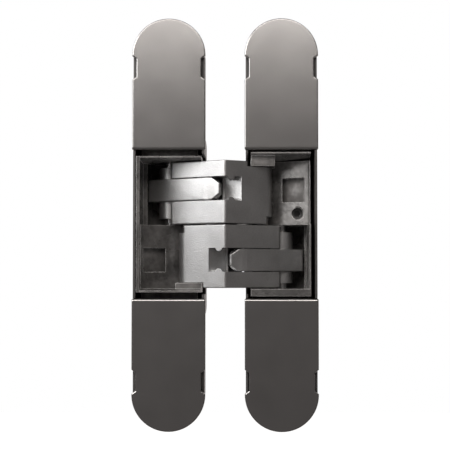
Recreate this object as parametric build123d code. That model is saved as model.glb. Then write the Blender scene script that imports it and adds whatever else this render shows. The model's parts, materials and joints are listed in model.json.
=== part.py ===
from build123d import *
import math
import os

# Concealed door hinge, open at 180 degrees: frame body on the right, door body on the left.
# While it is built, X runs across the hinge from its middle, Y from the face into the bodies, Z up.
# The lower half and the door body are the upper half and the frame body turned half round about Y.

# Bodies and cover caps
BODY_HEIGHT = 160.0
BODY_WIDTH = 28.5
BODY_GAP = 15.2
CLOSED_GAP = 4.0
CAP_THICKNESS = 2.2
CAP_GAP = 0.4
CAP_EDGE_ROUND = 0.5
CAP_INNER_ROUND = 1.0
CAP_MARGIN = 0.4
NOTCH_LENGTH = 9.3
NOTCH_DEPTH = 1.6
NOTCH_SLANT = 1.2
NOTCH_FROM_END = 19.2
PEG_RADIUS = 1.5
PEG_LENGTH = 5.0
PEG_WALL = 1.4
PEG_FROM_END = 8.0
SIDE_PEG_REACH = 8.2

# Housing
HOUSING_WALL = 0.9
RIM_FACE = 0.9
SCREW_SEAT = 11.0
END_FLOOR = 5.0
BACK_WALL = 1.6
DEEP_WALL = 0.6
POCKET_END_ROOM = 3.1
WOOD_SCREW_RADIUS = 2.6
WOOD_SCREW_HEAD_RADIUS = 4.9
WOOD_SCREW_PITCH = 13.0
WOOD_SCREW_ROOM = 1.2

# Linkage seen from above, with places counted from the inner or outer side of the frame body
ROOT_PIN_INSET = 6.0
LINK_PIN_FROM_EDGE = 13.9
LINK_PIN_DEPTH = 18.3
TIP_INSET = 14.0
TAIL_FROM_EDGE = 5.2
CENTRE_PIN_DEPTH = 14.5
NOSE_PIN_REACH = 9.0
NOSE_PIN_DEPTH = 6.8
ARM_TURN = 120.0
RIDGE_RISE = 2.4
RIDGE_ROUND = 1.2
ROOT_RADIUS = 4.6
CENTRE_RADIUS = 4.6
TIP_RADIUS = 1.4
HUB_RADIUS = 4.4
TAIL_RADIUS = 1.6
LINK_FLUSH = 0.15

# Heights of the upper arm and link
ARM_BOTTOM = 0.25
ARM_TOP = 24.7
SLOT_BOTTOM = 9.2
SLOT_TOP = 18.5
LINK_SIDE_GAP = 0.25
BOSS_BOTTOM = 2.7
BOSS_TOP = 22.9
NOSE_CHAMFER = 2.4
EYE_REACH = 6.4
EYE_WEB_RADIUS = 6.6
EYE_LUG_RADIUS = 1.3
EYE_LUG_REACH = 2.4
ARM_EDGE_ROUND = 0.4
ARM_END_GAP = 0.4

# Carriages
CARRIAGE_FACE = 0.7
CARRIAGE_FLOOR = 1.2
FRAME_CARRIAGE_WALL = 1.1
FRAME_CARRIAGE_END = 2.8
FRAME_LIP = 2.3
FRAME_LIP_DEPTH = 15.0
FRAME_INNER_PLAY = 0.1
FRAME_OUTER_PLAY = 0.6
DOOR_CARRIAGE_WALL = 1.3
DOOR_CARRIAGE_END = 1.3
DOOR_SIDE_PLAY = 0.3
DOOR_LIP = 0.7
DOOR_LIP_DEPTH = 3.0
LUG_TOP = 3.0
LUG_BOTTOM = 22.8
LUG_FRONT = 3.8
LUG_HALF_WIDTH = 5.8
LUG_BOSS_RADIUS = 3.3
LUG_NECK = 2.4
TONGUE_WIDTH = 22.0
TONGUE_THICKNESS = 4.0
TONGUE_BEYOND_CLAMP = 7.0
RECESS_WIDTH = 8.6
RECESS_FROM_EDGE = 2.2
RECESS_DEPTH = 3.0

# Pins, bushes and washer
ROOT_PIN_RADIUS = 2.2
LINK_PIN_RADIUS = 2.1
LINK_PIN_GRIP = 8.7
CENTRE_PIN_RADIUS = 2.5
NOSE_PIN_RADIUS = 1.6
BUSH_WALL = 0.8
BUSH_LENGTH = 5.0
WASHER_THICKNESS = 0.4

# Clamp screws, clamp plates and side adjuster
CLAMP_FROM_POCKET = 6.5
CLAMP_SCREW_RADIUS = 2.5
CLAMP_CORE_RADIUS = 2.05
CLAMP_COLLAR = 0.6
CLAMP_HEAD_RADIUS = 4.4
CLAMP_HEAD_HEIGHT = 3.0
CLAMP_HEX = 3.0
HEX_SIDES = 6
CLAMP_PLATE_WIDTH = 15.0
CLAMP_PLATE_HEIGHT = 11.0
CLAMP_PLATE_THICKNESS = 1.2
HEIGHT_TRAVEL = 2.0
SIDE_TRAVEL = 1.0
ADJUSTER_FROM_EDGE = 4.9
ADJUSTER_HEIGHT = 4.5
ADJUSTER_RADIUS = 2.2
ADJUSTER_SINK = 3.2
ADJUSTER_RIM = 0.5
ADJUSTER_HEX = 2.5
ECCENTRIC_RADIUS = 1.4
ECCENTRIC_LENGTH = 1.4
ECCENTRIC_TURN = 60.0

# Clearances
RUNNING = 0.05
SEATED = 0.02
FREE = 0.5
SIDE_PLAY = 0.2
SLIDE_PLAY = 0.05
PEG_ROOM = 1.1

# Overrun of cuts that run right out of a piece
OVERRUN = 60.0

BODY_EDGE = BODY_GAP / 2
BODY_OUTER = BODY_EDGE + BODY_WIDTH
BODY_END = BODY_HEIGHT / 2
BODY_CENTRE = BODY_EDGE + BODY_WIDTH / 2
FLANGE_BACK = SCREW_SEAT + END_FLOOR
HOUSING_WIDTH = BODY_WIDTH - 2 * CAP_MARGIN
HOUSING_HEIGHT = BODY_HEIGHT - 2 * CAP_MARGIN
POCKET_WIDTH = HOUSING_WIDTH - 2 * HOUSING_WALL
POCKET_INNER = BODY_CENTRE - POCKET_WIDTH / 2
POCKET_OUTER = BODY_CENTRE + POCKET_WIDTH / 2
CAVITY_TOP = ARM_TOP + ARM_END_GAP
FRAME_CARRIAGE_INNER = POCKET_INNER + SIDE_TRAVEL + FRAME_INNER_PLAY
FRAME_CARRIAGE_OUTER = POCKET_OUTER - SIDE_TRAVEL - FRAME_OUTER_PLAY
FRAME_CARRIAGE_HALF = CAVITY_TOP + FRAME_CARRIAGE_END
DOOR_CARRIAGE_INNER = POCKET_INNER + DOOR_SIDE_PLAY
DOOR_CARRIAGE_OUTER = POCKET_OUTER - DOOR_SIDE_PLAY
DOOR_CARRIAGE_HALF = CAVITY_TOP + DOOR_CARRIAGE_END
CARRIAGE_REACH = max(FRAME_CARRIAGE_HALF, DOOR_CARRIAGE_HALF + HEIGHT_TRAVEL)
CAP_INNER_EDGE = CARRIAGE_REACH + CAP_GAP
POCKET_HALF = CARRIAGE_REACH + POCKET_END_ROOM
DEEP_HEIGHT = 2 * (POCKET_HALF + DEEP_WALL) + HOUSING_WIDTH
WINDOW_HALF = ARM_TOP + HEIGHT_TRAVEL + FREE
CLAMP_HEIGHT = POCKET_HALF + CLAMP_FROM_POCKET
TONGUE_REACH = CLAMP_HEIGHT + TONGUE_BEYOND_CLAMP
SIDE_PEG_HEIGHT = TONGUE_REACH + HEIGHT_TRAVEL + PEG_RADIUS + PEG_WALL + PEG_ROOM
WOOD_SCREW_HEIGHT = SIDE_PEG_HEIGHT + PEG_RADIUS + PEG_WALL + WOOD_SCREW_HEAD_RADIUS + WOOD_SCREW_ROOM
ADJUSTER_REACH = FRAME_CARRIAGE_OUTER - ADJUSTER_FROM_EDGE
ECCENTRIC_OFFSET = SIDE_TRAVEL / math.sin(math.radians(ECCENTRIC_TURN))


def turned_about(point, centre, degrees):
    """Point turned about a centre in the plan."""
    angle = math.radians(degrees)
    dx = point[0] - centre[0]
    dy = point[1] - centre[1]
    x = centre[0] + dx * math.cos(angle) - dy * math.sin(angle)
    y = centre[1] + dx * math.sin(angle) + dy * math.cos(angle)
    return (x, y)


# The root pin lies so deep that the closed faces stand one closed gap apart
TURN = math.radians(ARM_TURN)
ROOT_PIN_REACH = BODY_EDGE + ROOT_PIN_INSET
ROOT_LEVER = ROOT_PIN_REACH * math.sin(TURN) - CENTRE_PIN_DEPTH * math.cos(TURN)
ROOT_PIN_DEPTH = (ROOT_LEVER - CLOSED_GAP / 2) / (1 - math.cos(TURN))
ROOT_PIN = (ROOT_PIN_REACH, ROOT_PIN_DEPTH)
CENTRE_PIN = (0.0, CENTRE_PIN_DEPTH)
LINK_PIN = (BODY_OUTER - LINK_PIN_FROM_EDGE, LINK_PIN_DEPTH)
NOSE_PIN = (NOSE_PIN_REACH, NOSE_PIN_DEPTH)
RIDGE = (0.0, RIDGE_ROUND - RIDGE_RISE)

# The front face of an arm runs from the round of the ridge to the round of the root
ROOT_RUN = math.hypot(ROOT_PIN[0] - RIDGE[0], ROOT_PIN[1] - RIDGE[1])
ROOT_ANGLE = math.atan2(ROOT_PIN[1] - RIDGE[1], ROOT_PIN[0] - RIDGE[0])
FRONT_SLOPE = ROOT_ANGLE - math.asin((ROOT_RADIUS - RIDGE_ROUND) / ROOT_RUN)


def inset(point):
    """Distance of a point behind the sloping front face."""
    deeper = (point[1] - RIDGE[1]) * math.cos(FRONT_SLOPE)
    aside = (point[0] - RIDGE[0]) * math.sin(FRONT_SLOPE)
    return deeper - aside + RIDGE_ROUND


def behind_front(reach, depth):
    """Point at a depth behind the sloping front face, at a reach from the middle of the hinge."""
    y = RIDGE[1] + reach * math.tan(FRONT_SLOPE) + (depth - RIDGE_ROUND) / math.cos(FRONT_SLOPE)
    return (reach, y)


def nose_pin(share):
    """Place of the lower arm's nose pin at a share of the swing, as the frame sees it."""
    centre = turned_about(CENTRE_PIN, ROOT_PIN, ARM_TURN * share)
    start = (centre[0] + NOSE_PIN[0] - CENTRE_PIN[0], centre[1] + NOSE_PIN[1] - CENTRE_PIN[1])
    return turned_about(start, centre, (180.0 - ARM_TURN) * share)


def seen_from_arm(point, share):
    """Point on the frame side as the lower arm sees it at a share of the swing."""
    centre = turned_about(CENTRE_PIN, ROOT_PIN, ARM_TURN * share)
    x, y = turned_about(point, centre, -(180.0 - ARM_TURN) * share)
    return (x + CENTRE_PIN[0] - centre[0], y + CENTRE_PIN[1] - centre[1])


def bearing_from_link_pin(point):
    """Direction of a point from the link pin, in degrees."""
    return math.degrees(math.atan2(point[1] - LINK_PIN[1], point[0] - LINK_PIN[0]))


# The link turns as far as its nose pin goes round the link pin, and its slot follows that pin
LINK_TURN = bearing_from_link_pin(nose_pin(1)) - bearing_from_link_pin(NOSE_PIN)
SWING_STEPS = 12
SWING_SHARES = [step / SWING_STEPS for step in range(SWING_STEPS + 1)]
NOSE_PATH = [turned_about(nose_pin(share), LINK_PIN, -LINK_TURN * share) for share in SWING_SHARES]
NOSE_END = min(NOSE_PATH)
NOSE_CLOSED = turned_about(NOSE_END, LINK_PIN, LINK_TURN)
TIP = behind_front(BODY_EDGE + TIP_INSET - TIP_RADIUS, TIP_RADIUS)
TAIL = behind_front(BODY_OUTER - TAIL_FROM_EDGE - TAIL_RADIUS, TAIL_RADIUS + LINK_FLUSH)
TAIL_SWEEP = math.hypot(TAIL[0] - LINK_PIN[0], TAIL[1] - LINK_PIN[1]) + TAIL_RADIUS
HUB_SIDE_RADIUS = inset(LINK_PIN) - LINK_FLUSH
NOSE_RADIUS = inset(NOSE_END) - LINK_FLUSH
NOSE_BOSS_RADIUS = inset(NOSE_PIN)
RIDGE_CLOSED = turned_about(RIDGE, ROOT_PIN, ARM_TURN)

# The body is as deep as the link's tail needs, and the window as deep as the crossing of the arms
CARRIAGE_BACK = LINK_PIN_DEPTH + TAIL_SWEEP + FREE + CARRIAGE_FLOOR
POCKET_FLOOR = CARRIAGE_BACK + SLIDE_PLAY
BODY_DEPTH = POCKET_FLOOR + BACK_WALL
ROOM_DEPTH = CENTRE_PIN_DEPTH + CENTRE_RADIUS - 2 * FREE
WINDOW_DEPTH = ROOM_DEPTH + FREE


def disc(centre, radius):
    """Round sketch in the plan."""
    return Pos(centre[0], centre[1]) * Circle(radius)


def area(*points):
    """Straight-sided sketch, with its corners taken counter-clockwise."""
    pairs = zip(points, points[1:] + points[:1])
    turn = sum(start[0] * end[1] - end[0] * start[1] for start, end in pairs)
    ordered = points if turn > 0 else points[::-1]
    return Polygon(*ordered, align=None)


def strap(start, start_radius, end, end_radius):
    """Two rounds in the plan with the straight sides that touch both."""
    run = math.hypot(end[0] - start[0], end[1] - start[1])
    heading = math.atan2(end[1] - start[1], end[0] - start[0])
    spread = math.acos((start_radius - end_radius) / run)
    corners = []
    for centre, radius, side in (
        (start, start_radius, 1),
        (end, end_radius, 1),
        (end, end_radius, -1),
        (start, start_radius, -1),
    ):
        angle = heading + side * spread
        corners.append((centre[0] + radius * math.cos(angle), centre[1] + radius * math.sin(angle)))
    return area(*corners) + disc(start, start_radius) + disc(end, end_radius)


def layer(sketch, bottom, top):
    """Plan sketch raised between two heights."""
    return extrude(Pos(0, 0, bottom) * sketch, top - bottom)


def slab(sketch, front, back):
    """Sketch seen from the front, given depth between two places behind the face."""
    return extrude(Plane.XZ.offset(-front) * sketch, front - back)


def block(x_range, y_range, z_range):
    """Box between two limits on each axis."""
    size = [high - low for low, high in (x_range, y_range, z_range)]
    middle = [(high + low) / 2 for low, high in (x_range, y_range, z_range)]
    return Pos(*middle) * Box(*size)


def upright(centre, radius, bottom, top):
    """Upright cylinder at a place in the plan."""
    return layer(disc(centre, radius), bottom, top)


def level(x, z, radius, front, back):
    """Cylinder that runs straight into the body."""
    return slab(Pos(x, z) * Circle(radius), front, back)


def obround(width, height):
    """Upright sketch with half-round ends."""
    return SlotOverall(height, width, rotation=90)


def half_round(part):
    """Part turned half round about the line of sight, for the other half of the hinge."""
    return Rot(0, 180, 0) * part


def mirrored(point):
    """Plan point on the other side of the hinge's middle."""
    return (-point[0], point[1])


def make_housing():
    """Frame housing: end trays for the screws, a deep middle pocket and a window for the arms."""
    middle = Pos(BODY_CENTRE, 0)
    shell = slab(middle * obround(HOUSING_WIDTH, HOUSING_HEIGHT), CAP_THICKNESS, FLANGE_BACK)
    shell += slab(middle * obround(HOUSING_WIDTH, DEEP_HEIGHT), CAP_THICKNESS, BODY_DEPTH)
    rim_height = 2 * (CAP_INNER_EDGE - SIDE_PLAY)
    shell += slab(middle * Rectangle(HOUSING_WIDTH, rim_height), RIM_FACE, CAP_THICKNESS)
    tray = obround(HOUSING_WIDTH - 2 * HOUSING_WALL, HOUSING_HEIGHT - 2 * HOUSING_WALL)
    shell -= slab(middle * tray, 0, SCREW_SEAT)
    shell -= slab(middle * Rectangle(POCKET_WIDTH, 2 * POCKET_HALF), 0, POCKET_FLOOR)
    shell -= block((0, BODY_CENTRE), (0, WINDOW_DEPTH), (-WINDOW_HALF, WINDOW_HALF))
    for side in (1, -1):
        shell -= level(BODY_CENTRE, side * CLAMP_HEIGHT, CLAMP_SCREW_RADIUS, SCREW_SEAT, FLANGE_BACK)
        for x, z in peg_places():
            post = level(BODY_CENTRE + x, side * z, PEG_RADIUS + PEG_WALL, CAP_THICKNESS, SCREW_SEAT)
            socket = level(BODY_CENTRE + x, side * z, PEG_RADIUS + RUNNING, 0, SCREW_SEAT)
            shell = shell + post - socket
        for x in (-WOOD_SCREW_PITCH / 2, WOOD_SCREW_PITCH / 2):
            shell -= wood_screw_hole(BODY_CENTRE + x, side * WOOD_SCREW_HEIGHT)
    return shell


def wood_screw_hole(x, z):
    """Countersunk hole through the floor of an end tray."""
    sink = WOOD_SCREW_HEAD_RADIUS - WOOD_SCREW_RADIUS
    cone = Cone(WOOD_SCREW_HEAD_RADIUS, WOOD_SCREW_RADIUS, sink)
    seat = Pos(x, SCREW_SEAT + sink / 2, z) * Rot(-90, 0, 0) * cone
    return seat + level(x, z, WOOD_SCREW_RADIUS, SCREW_SEAT, FLANGE_BACK)


def peg_places():
    """Places of a cap's pegs, across and up from the middle of the body."""
    end = (0, BODY_END - PEG_FROM_END)
    return (end, (SIDE_PEG_REACH, SIDE_PEG_HEIGHT), (-SIDE_PEG_REACH, SIDE_PEG_HEIGHT))


def make_cap():
    """Upper cap of the frame body: round outer end, two notched sides, three pegs."""
    middle = Pos(BODY_CENTRE, 0)
    face = obround(BODY_WIDTH, BODY_HEIGHT)
    face -= Pos(0, CAP_INNER_EDGE - BODY_HEIGHT) * Rectangle(BODY_WIDTH, 2 * BODY_HEIGHT)
    notch_top = BODY_END - NOTCH_FROM_END + NOTCH_LENGTH / 2
    notch_bottom = notch_top - NOTCH_LENGTH
    for side in (1, -1):
        edge = side * BODY_WIDTH / 2
        deep = edge - side * NOTCH_DEPTH
        notch = area(
            (edge, notch_top),
            (deep, notch_top - NOTCH_SLANT),
            (deep, notch_bottom + NOTCH_SLANT),
            (edge, notch_bottom),
        )
        face -= notch
    cap = slab(middle * face, 0, CAP_THICKNESS)
    front = cap.faces().sort_by(Axis.Y)[0]
    inner = front.edges().sort_by(Axis.Z)[0]
    cap = fillet(inner, CAP_INNER_ROUND)
    front = cap.faces().filter_by(Axis.Y).sort_by(Axis.Y)[0]
    inner_end = CAP_INNER_EDGE + 2 * CAP_INNER_ROUND
    outer = front.edges().filter_by(lambda edge: edge.center().Z > inner_end)
    cap = fillet(outer, CAP_EDGE_ROUND)
    for x, z in peg_places():
        cap += level(BODY_CENTRE + x, z, PEG_RADIUS, CAP_THICKNESS - SEATED, CAP_THICKNESS + PEG_LENGTH)
    return cap


def make_arm():
    """Upper arm: block and root knuckle on the frame side, three-way fork on the door side."""
    nose = mirrored(NOSE_PIN)
    tip = mirrored(TIP)
    plan = strap(RIDGE, RIDGE_ROUND, ROOT_PIN, ROOT_RADIUS)
    plan += strap(ROOT_PIN, ROOT_RADIUS, CENTRE_PIN, CENTRE_RADIUS)
    plan += strap(CENTRE_PIN, CENTRE_RADIUS, RIDGE, RIDGE_ROUND)
    plan += area(RIDGE, ROOT_PIN, CENTRE_PIN)
    plan += strap(RIDGE, RIDGE_ROUND, tip, TIP_RADIUS)
    plan += strap(nose, NOSE_BOSS_RADIUS, tip, TIP_RADIUS)
    plan += strap(nose, NOSE_BOSS_RADIUS, CENTRE_PIN, CENTRE_RADIUS)
    plan += area(RIDGE, tip, nose)
    plan += area(RIDGE, nose, CENTRE_PIN)
    blank = layer(plan, ARM_BOTTOM, ARM_TOP)
    rims = blank.faces().filter_by(Axis.Z).edges()
    arm = fillet(rims, ARM_EDGE_ROUND)
    mouth = behind_front(EYE_REACH, 0)
    ramp_foot = mouth[1] + EYE_REACH * math.tan(FRONT_SLOPE)
    eye = area(
        (-OVERRUN, -OVERRUN),
        (EYE_REACH, -OVERRUN),
        mouth,
        (0, ramp_foot),
        (0, OVERRUN),
        (-OVERRUN, OVERRUN),
    )
    eye -= disc(CENTRE_PIN, CENTRE_RADIUS)
    eye -= disc(CENTRE_PIN, EYE_WEB_RADIUS) - mirror(link_room(), Plane.YZ)
    arm -= layer(eye, SLOT_BOTTOM, SLOT_TOP)
    for height in (SLOT_BOTTOM, SLOT_TOP):
        lug = level(EYE_LUG_REACH, height, EYE_LUG_RADIUS, -RIDGE_RISE, CENTRE_PIN_DEPTH)
        arm += lug & blank
    arm -= upright(ROOT_PIN, lug_sweep(), LUG_BOTTOM - SIDE_PLAY, ARM_TOP)
    lower_lug_room = disc(ROOT_PIN, boss_room()) + neck_sweep()
    arm -= layer(lower_lug_room, ARM_BOTTOM, LUG_TOP + SIDE_PLAY)
    arm -= upright(ROOT_PIN, ROOT_PIN_RADIUS + BUSH_WALL + SEATED, ARM_BOTTOM, ARM_TOP)
    arm -= upright(nose, NOSE_PIN_RADIUS + SEATED, ARM_BOTTOM, ARM_TOP)
    return arm


def link_room():
    """Plan of the room that the lower link needs in its arm, over the whole swing."""
    room = disc(NOSE_END, NOSE_RADIUS + FREE)
    for share in SWING_SHARES:
        nose = seen_from_arm(turned_about(NOSE_END, LINK_PIN, LINK_TURN * share), share)
        hub = seen_from_arm(LINK_PIN, share)
        room += strap(nose, NOSE_RADIUS + FREE, hub, HUB_SIDE_RADIUS + FREE)
    return room


def lug_sweep():
    """Reach of the carriage's upper lug from the root pin, with its clearance."""
    corner = max(ROOT_PIN[0] - DOOR_CARRIAGE_INNER, LUG_HALF_WIDTH)
    return math.hypot(corner, ROOT_PIN[1] - LUG_FRONT) + FREE


def boss_room():
    """Radius of the room for the round of the carriage's lower lug in the root of an arm."""
    return LUG_BOSS_RADIUS + 2 * SIDE_PLAY


def neck_sweep():
    """Plan of the sector of an arm's root that the neck of the carriage's lower lug passes through."""
    margin = math.degrees(math.asin((LUG_NECK / 2 + FREE) / boss_room()))
    bearings = (90 + margin, 90 - ARM_TURN / 3, 90 - 2 * ARM_TURN / 3, 90 - ARM_TURN - margin)
    far = (ROOT_PIN[0] + 2 * ROOT_RADIUS, ROOT_PIN[1])
    return area(ROOT_PIN, *(turned_about(far, ROOT_PIN, bearing) for bearing in bearings))


def make_upper_arm():
    """Upper arm with a bore that grips the centre pin."""
    return make_arm() - upright(CENTRE_PIN, CENTRE_PIN_RADIUS + SEATED, ARM_BOTTOM, ARM_TOP)


def make_lower_arm():
    """Lower arm, with a bore that takes the bushes of the centre pin."""
    bore = upright(CENTRE_PIN, CENTRE_PIN_RADIUS + BUSH_WALL + SEATED, ARM_BOTTOM, ARM_TOP)
    return half_round(make_arm() - bore)


def make_link():
    """Lower link drawn on the upper side: strap from nose to hub, tail, and two hub bosses."""
    bottom = SLOT_BOTTOM + LINK_SIDE_GAP
    top = SLOT_TOP - LINK_SIDE_GAP
    plan = strap(NOSE_END, NOSE_RADIUS, LINK_PIN, HUB_SIDE_RADIUS)
    plan += strap(LINK_PIN, HUB_SIDE_RADIUS, TAIL, TAIL_RADIUS)
    blank = layer(plan, bottom, top)
    rims = blank.faces().filter_by(Axis.Z).edges()
    link = fillet(rims, ARM_EDGE_ROUND)
    tip = NOSE_END[0] - NOSE_RADIUS
    for height, side in ((bottom, 1), (top, -1)):
        corner = area(
            (tip - NOSE_CHAMFER, height - side * NOSE_CHAMFER),
            (tip + 2 * NOSE_CHAMFER, height - side * NOSE_CHAMFER),
            (tip - NOSE_CHAMFER, height + side * 2 * NOSE_CHAMFER),
        )
        link -= slab(corner, -OVERRUN, OVERRUN)
    link += upright(LINK_PIN, HUB_RADIUS, BOSS_BOTTOM, BOSS_TOP)
    link -= upright(LINK_PIN, LINK_PIN_RADIUS + BUSH_WALL + SEATED, BOSS_BOTTOM, BOSS_TOP)
    slot = disc(NOSE_PATH[0], NOSE_PIN_RADIUS + RUNNING)
    for start, end in zip(NOSE_PATH, NOSE_PATH[1:]):
        slot += strap(start, NOSE_PIN_RADIUS + SIDE_PLAY, end, NOSE_PIN_RADIUS + SIDE_PLAY)
    return link - layer(slot, SLOT_BOTTOM, SLOT_TOP)


def block_room(outer):
    """Plan of the room that the arm's block and root sweep through in a carriage."""
    root = ROOT_RADIUS + FREE
    ridge = RIDGE_ROUND + FREE
    room = strap(ROOT_PIN, root, CENTRE_PIN, CENTRE_RADIUS + FREE)
    room += strap(ROOT_PIN, root, RIDGE_CLOSED, ridge)
    room += area(CENTRE_PIN, ROOT_PIN, RIDGE_CLOSED, (RIDGE_CLOSED[0], -OVERRUN), (0, -OVERRUN))
    reach = max(RIDGE_CLOSED[0] + ridge, outer)
    room += area(
        (RIDGE_CLOSED[0], -OVERRUN),
        (reach, -OVERRUN),
        (reach, RIDGE_CLOSED[1]),
        RIDGE_CLOSED,
    )
    return room


def fork_room(outer):
    """Plan of the room that the arm's fork and the link sweep through in a carriage."""
    sweep = TAIL_SWEEP + FREE
    room = strap(NOSE_END, NOSE_RADIUS + FREE, LINK_PIN, sweep)
    room += strap(NOSE_CLOSED, NOSE_RADIUS + FREE, LINK_PIN, HUB_SIDE_RADIUS + FREE)
    room += area(
        (0, -OVERRUN),
        (outer, -OVERRUN),
        (outer, LINK_PIN_DEPTH),
        LINK_PIN,
        (LINK_PIN[0] - sweep, ROOM_DEPTH),
        (0, ROOM_DEPTH),
    )
    return room


def make_carriage(inner, outer, wall, half_height, slants, slot_length, slot_turn, open_side):
    """Carriage on the frame side, with its two rooms, lugs, pin holes and end tongues."""
    body = block((inner, outer), (CARRIAGE_FACE, CARRIAGE_BACK), (-half_height, half_height))
    block_side = outer + OVERRUN if open_side else outer - wall
    body -= layer(block_room(block_side), 0, CAVITY_TOP)
    body -= layer(fork_room(outer - wall), -CAVITY_TOP, 0)
    for slant in slants:
        body -= slant
    back = ROOT_PIN[1] + ROOT_RADIUS + 2 * FREE
    body += block((inner, ROOT_PIN[0] + LUG_HALF_WIDTH), (LUG_FRONT, back), (LUG_BOTTOM, half_height))
    neck = (ROOT_PIN[0] - LUG_NECK / 2, ROOT_PIN[0] + LUG_NECK / 2)
    body += upright(ROOT_PIN, LUG_BOSS_RADIUS, 0, LUG_TOP)
    body += block(neck, (ROOT_PIN[1], back + FREE), (0, LUG_TOP))
    body -= upright(ROOT_PIN, ROOT_PIN_RADIUS + SEATED, 0, half_height)
    body -= upright(LINK_PIN, LINK_PIN_RADIUS + SEATED, -half_height, LINK_PIN_GRIP)
    body -= slope_recess(outer)
    centre = (inner + outer) / 2
    tongue = (centre - TONGUE_WIDTH / 2, centre + TONGUE_WIDTH / 2)
    depth = (SCREW_SEAT - TONGUE_THICKNESS, SCREW_SEAT - SLIDE_PLAY)
    for side in (1, -1):
        ends = sorted((side * half_height, side * TONGUE_REACH))
        body += block(tongue, depth, ends)
        slot = SlotCenterToCenter(slot_length, 2 * (CLAMP_SCREW_RADIUS + SIDE_PLAY), rotation=slot_turn)
        body -= slab(Pos(BODY_CENTRE, side * CLAMP_HEIGHT) * slot, 0, SCREW_SEAT)
    return body


def slope_floor(x):
    """Depth of the sloping floor beside the arm's block, at a place across the hinge."""
    tilt = math.radians(ARM_TURN) + FRONT_SLOPE
    foot = RIDGE_ROUND + FREE
    return RIDGE_CLOSED[1] - foot / math.cos(tilt) + (x - RIDGE_CLOSED[0]) * math.tan(tilt)


def slope_recess(outer):
    """Square recess in the sloping floor beside the arm's block, at the height of the link."""
    far = outer - RECESS_FROM_EDGE
    near = far - RECESS_WIDTH
    plan = area(
        (near, 0),
        (far, 0),
        (far, slope_floor(far) + RECESS_DEPTH),
        (near, slope_floor(near) + RECESS_DEPTH),
    )
    return layer(plan, SLOT_BOTTOM - LINK_SIDE_GAP, SLOT_TOP)


def make_frame_carriage():
    """Carriage of the frame body, which shifts sideways and holds the side adjuster."""
    carriage = make_carriage(
        FRAME_CARRIAGE_INNER,
        FRAME_CARRIAGE_OUTER,
        FRAME_CARRIAGE_WALL,
        FRAME_CARRIAGE_HALF,
        [end_slant(FRAME_LIP, FRAME_LIP_DEPTH, OVERRUN)],
        2 * (SIDE_TRAVEL + SIDE_PLAY),
        0,
        True,
    )
    carriage -= level(ADJUSTER_REACH, ADJUSTER_HEIGHT, ADJUSTER_RADIUS + RUNNING, 0, POCKET_FLOOR)
    rim = ADJUSTER_RADIUS + ADJUSTER_RIM
    rim_floor = slope_floor(ADJUSTER_REACH) + ADJUSTER_RIM
    return carriage - level(ADJUSTER_REACH, ADJUSTER_HEIGHT, rim, 0, rim_floor)


def make_door_carriage():
    """Carriage of the door body, which shifts in height."""
    slant = end_slant(DOOR_LIP, DOOR_LIP_DEPTH, DOOR_CARRIAGE_OUTER - DOOR_CARRIAGE_WALL)
    carriage = make_carriage(
        DOOR_CARRIAGE_INNER,
        DOOR_CARRIAGE_OUTER,
        DOOR_CARRIAGE_WALL,
        DOOR_CARRIAGE_HALF,
        [slant, mirror(slant, Plane.XY)],
        2 * (HEIGHT_TRAVEL + SIDE_PLAY),
        90,
        False,
    )
    return half_round(carriage)


def end_slant(lip, depth, reach):
    """Wedge that thins a carriage's end wall towards its front edge."""
    corners = (
        (0, CARRIAGE_FACE, CAVITY_TOP + lip),
        (0, CARRIAGE_FACE + depth, CAVITY_TOP),
        (0, CARRIAGE_FACE, CAVITY_TOP),
    )
    return extrude(make_face(Polyline(*corners, close=True)), reach, dir=(1, 0, 0))


def make_bushes(centre, radius, bottom, top):
    """Two plain bushes in the ends of a bore."""
    ring = disc(centre, radius + BUSH_WALL) - disc(centre, radius + RUNNING)
    return layer(ring, bottom, bottom + BUSH_LENGTH) + layer(ring, top - BUSH_LENGTH, top)


def make_clamp_screws():
    """Two clamp screws of a body: socket head, plain collar in the tongue's slot, core of the thread."""
    screws = Part()
    head_seat = SCREW_SEAT - TONGUE_THICKNESS - CLAMP_PLATE_THICKNESS
    collar_end = SCREW_SEAT + CLAMP_COLLAR
    for side in (1, -1):
        height = side * CLAMP_HEIGHT
        screw = level(BODY_CENTRE, height, CLAMP_HEAD_RADIUS, head_seat - CLAMP_HEAD_HEIGHT, head_seat)
        screw += level(BODY_CENTRE, height, CLAMP_SCREW_RADIUS - SEATED, head_seat, collar_end)
        screw += level(BODY_CENTRE, height, CLAMP_CORE_RADIUS, collar_end, FLANGE_BACK)
        socket = Pos(BODY_CENTRE, height) * RegularPolygon(CLAMP_HEX / 2, HEX_SIDES, major_radius=False)
        screw -= slab(socket, head_seat - CLAMP_HEAD_HEIGHT, head_seat)
        screws += screw
    return screws


def make_clamp_plates():
    """Two clamp plates of a body, between the screw heads and the tongues."""
    plates = Part()
    back = SCREW_SEAT - TONGUE_THICKNESS
    outline = Rectangle(CLAMP_PLATE_WIDTH, CLAMP_PLATE_HEIGHT)
    outline -= Circle(CLAMP_SCREW_RADIUS + SIDE_PLAY)
    for side in (1, -1):
        place = Pos(BODY_CENTRE, side * CLAMP_HEIGHT)
        plates += slab(place * outline, back - CLAMP_PLATE_THICKNESS, back - SLIDE_PLAY)
    return plates


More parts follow.
